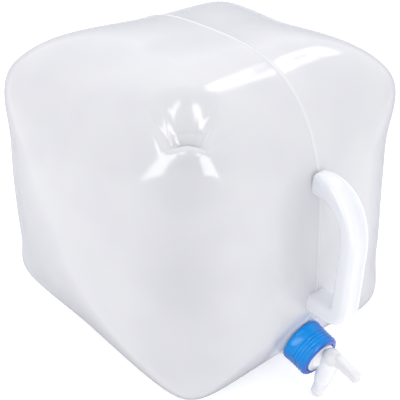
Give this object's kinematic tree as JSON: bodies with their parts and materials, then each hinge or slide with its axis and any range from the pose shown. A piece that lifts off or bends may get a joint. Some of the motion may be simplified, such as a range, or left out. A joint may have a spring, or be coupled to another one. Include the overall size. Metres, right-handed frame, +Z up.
{
  "type": "collapsible water carrier",
  "caption": "Soft rounded cube for water with a D-shaped carry handle and a low screw neck that holds a lever tap; one half folds into the other.",
  "frame": {"origin": "middle of the flat base, on the plane where the two mould halves meet", "axes": "+Z up from the base; -Y towards the handle and the tap; -X towards the end that folds in"},
  "size_m": [0.3151, 0.3585, 0.2969],
  "materials": {
    "milky_skin": "translucent milky low density polyethylene, satin from the mould",
    "handle_white": "thick white polyethylene, satin",
    "washer_white": "soft matt sealing washer",
    "ring_blue": "glossy blue polypropylene that lets some light through",
    "tap_white": "natural white polypropylene, smooth",
    "seal_black": "matt black rubber"
  },
  "bodies": {
    "container": {"receiving_half": "milky_skin", "folding_sleeve": "milky_skin", "threaded_neck": "milky_skin", "carry_handle": "handle_white"},
    "end": {"folding_end": "milky_skin"},
    "washer": {"sealing_washer": "washer_white"},
    "ring": {"screw_ring": "ring_blue"},
    "tap": {"tap_body": "tap_white"},
    "plug": {"lever_plug": "tap_white", "plug_seal": "seal_black"}
  },
  "joints": [
    {"name": "fold_in", "type": "slide", "parent": "container", "child": "end", "axis": [1, 0, 0], "range_m": [0, 0.18], "deforming": ["folding_sleeve"]},
    {"name": "closure_rise", "type": "slide", "parent": "container", "child": "washer", "axis": [0, -0.972, -0.2351], "range_m": [0, 0.0085]},
    {"name": "cap_turn", "type": "hinge", "parent": "washer", "child": "ring", "pos_m": [0, -0.14, 0.0458], "axis": [0, -0.972, -0.2351], "range_deg": [0, 720]},
    {"name": "tap_swivel", "type": "hinge", "parent": "washer", "child": "tap", "pos_m": [0, -0.14, 0.0458], "axis": [0, -0.972, -0.2351], "range_deg": [-180, 180]},
    {"name": "lever_turn", "type": "hinge", "parent": "tap", "child": "plug", "pos_m": [0, -0.17412, 0.03755], "axis": [0, -0.2351, 0.972], "range_deg": [0, 90]}
  ],
  "couplings": [
    {"joint": "closure_rise", "follows": "cap_turn", "m_per_rad": 0.00066845}
  ]
}
